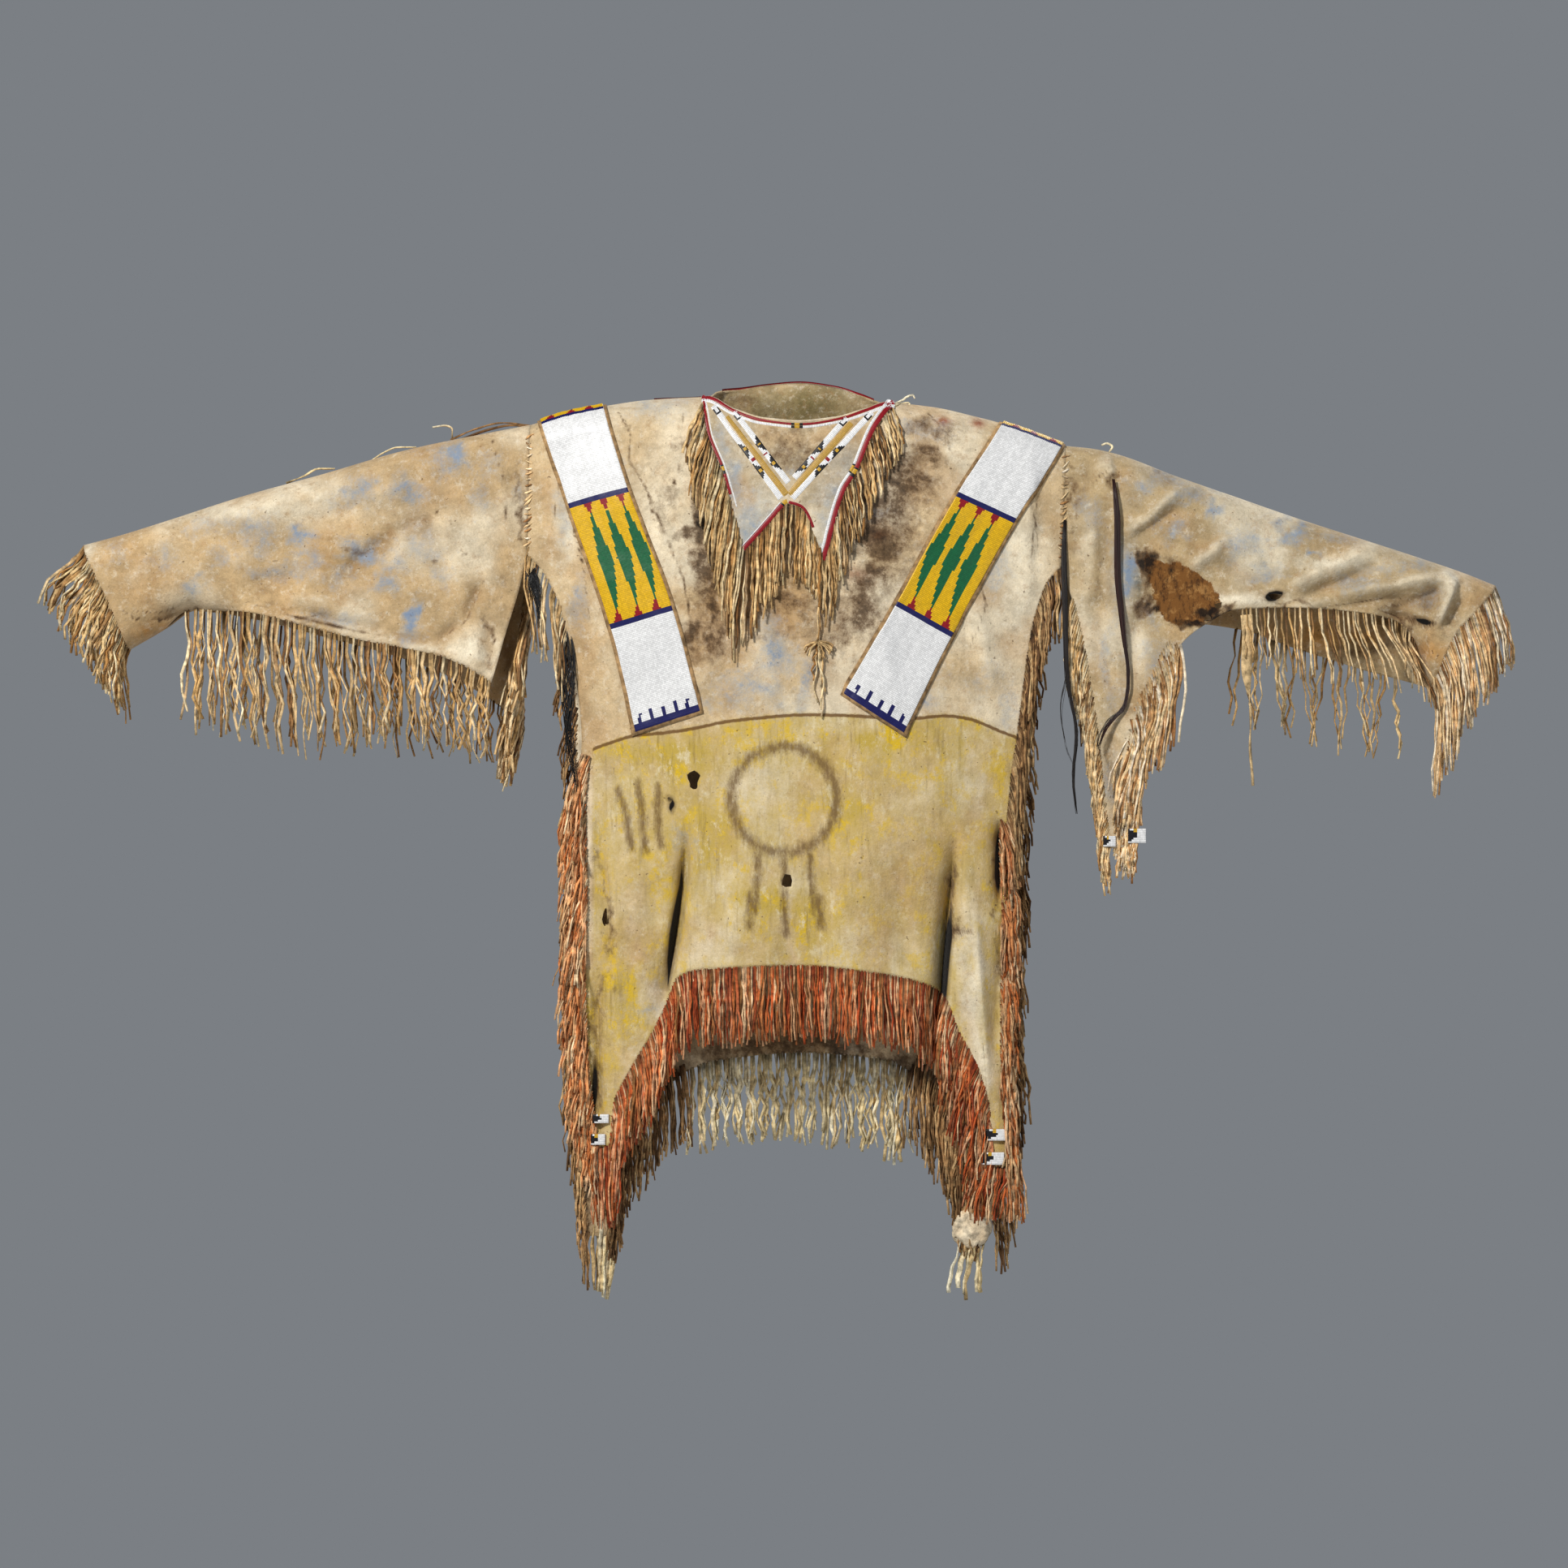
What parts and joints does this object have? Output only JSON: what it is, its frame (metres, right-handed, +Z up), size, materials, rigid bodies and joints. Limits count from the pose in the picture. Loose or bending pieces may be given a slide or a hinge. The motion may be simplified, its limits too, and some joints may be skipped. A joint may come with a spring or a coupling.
{
  "type": "beaded hide shirt",
  "caption": "Hollow hide shirt with a notched neck flap front and back, beaded shoulder strips, open cape sleeves and long cut fringe.",
  "frame": {"origin": "middle of the neck opening at shoulder height, on the plane between the front and back hides, where the wearer's shoulders carry the shirt", "axes": "+Z up; +X to the wearer's left, along the spread sleeves; -Y out of the shirt's front"},
  "size_m": [1.6328, 0.1308, 1.0291],
  "materials": {
    "hide": "matte suede with soft stains",
    "hide_ochre": "matte suede rubbed with yellow and blue paint",
    "fringe": "matte cut thongs",
    "fringe_red": "matte cut thongs rubbed with red paint",
    "beads": "small opaque glossy beads sewn in rows",
    "hair": "straight dark hair"
  },
  "bodies": {
    "root": {"front": "hide_ochre", "back": "hide", "sleeve_right": "hide", "sleeve_left": "hide", "neck_flap_front": "hide", "neck_flap_back": "hide", "fringe_flap_front": "fringe", "fringe_flap_back": "fringe", "strip_right": "beads", "strip_left": "beads", "fringe_hem_front": "fringe_red", "fringe_hem_front_right": "fringe_red", "fringe_hem_front_left": "fringe_red", "fringe_side_front_right": "fringe_red", "fringe_side_front_left": "fringe_red", "fringe_underarm_right": "fringe", "fringe_underarm_left": "fringe", "fringe_hem_back": "fringe", "fringe_hem_back_right": "fringe", "fringe_hem_back_left": "fringe", "fringe_side_back_right": "fringe", "fringe_side_back_left": "fringe", "fringe_sleeve_right_front": "fringe", "fringe_sleeve_right_back": "fringe", "fringe_sleeve_right_inner": "fringe", "fringe_cuff_right_front": "fringe", "fringe_cuff_right_back": "fringe", "fringe_sleeve_left_front": "fringe", "fringe_sleeve_left_back": "fringe", "fringe_sleeve_left_drop": "fringe", "fringe_sleeve_left_inner": "fringe", "fringe_cuff_left_front": "fringe", "fringe_cuff_left_back": "fringe", "tail_right": "fringe", "tail_left": "fringe", "hair_lock_armhole": "hair", "hair_underarm": "hair", "hair_lock_sleeve": "hair", "bead_tab_leg_right_upper": "beads", "bead_tab_leg_right_lower": "beads", "bead_tab_leg_left_upper": "beads", "bead_tab_leg_left_lower": "beads", "bead_tab_sleeve_outer": "beads", "bead_tab_sleeve_inner": "beads"}
  },
  "joints": []
}
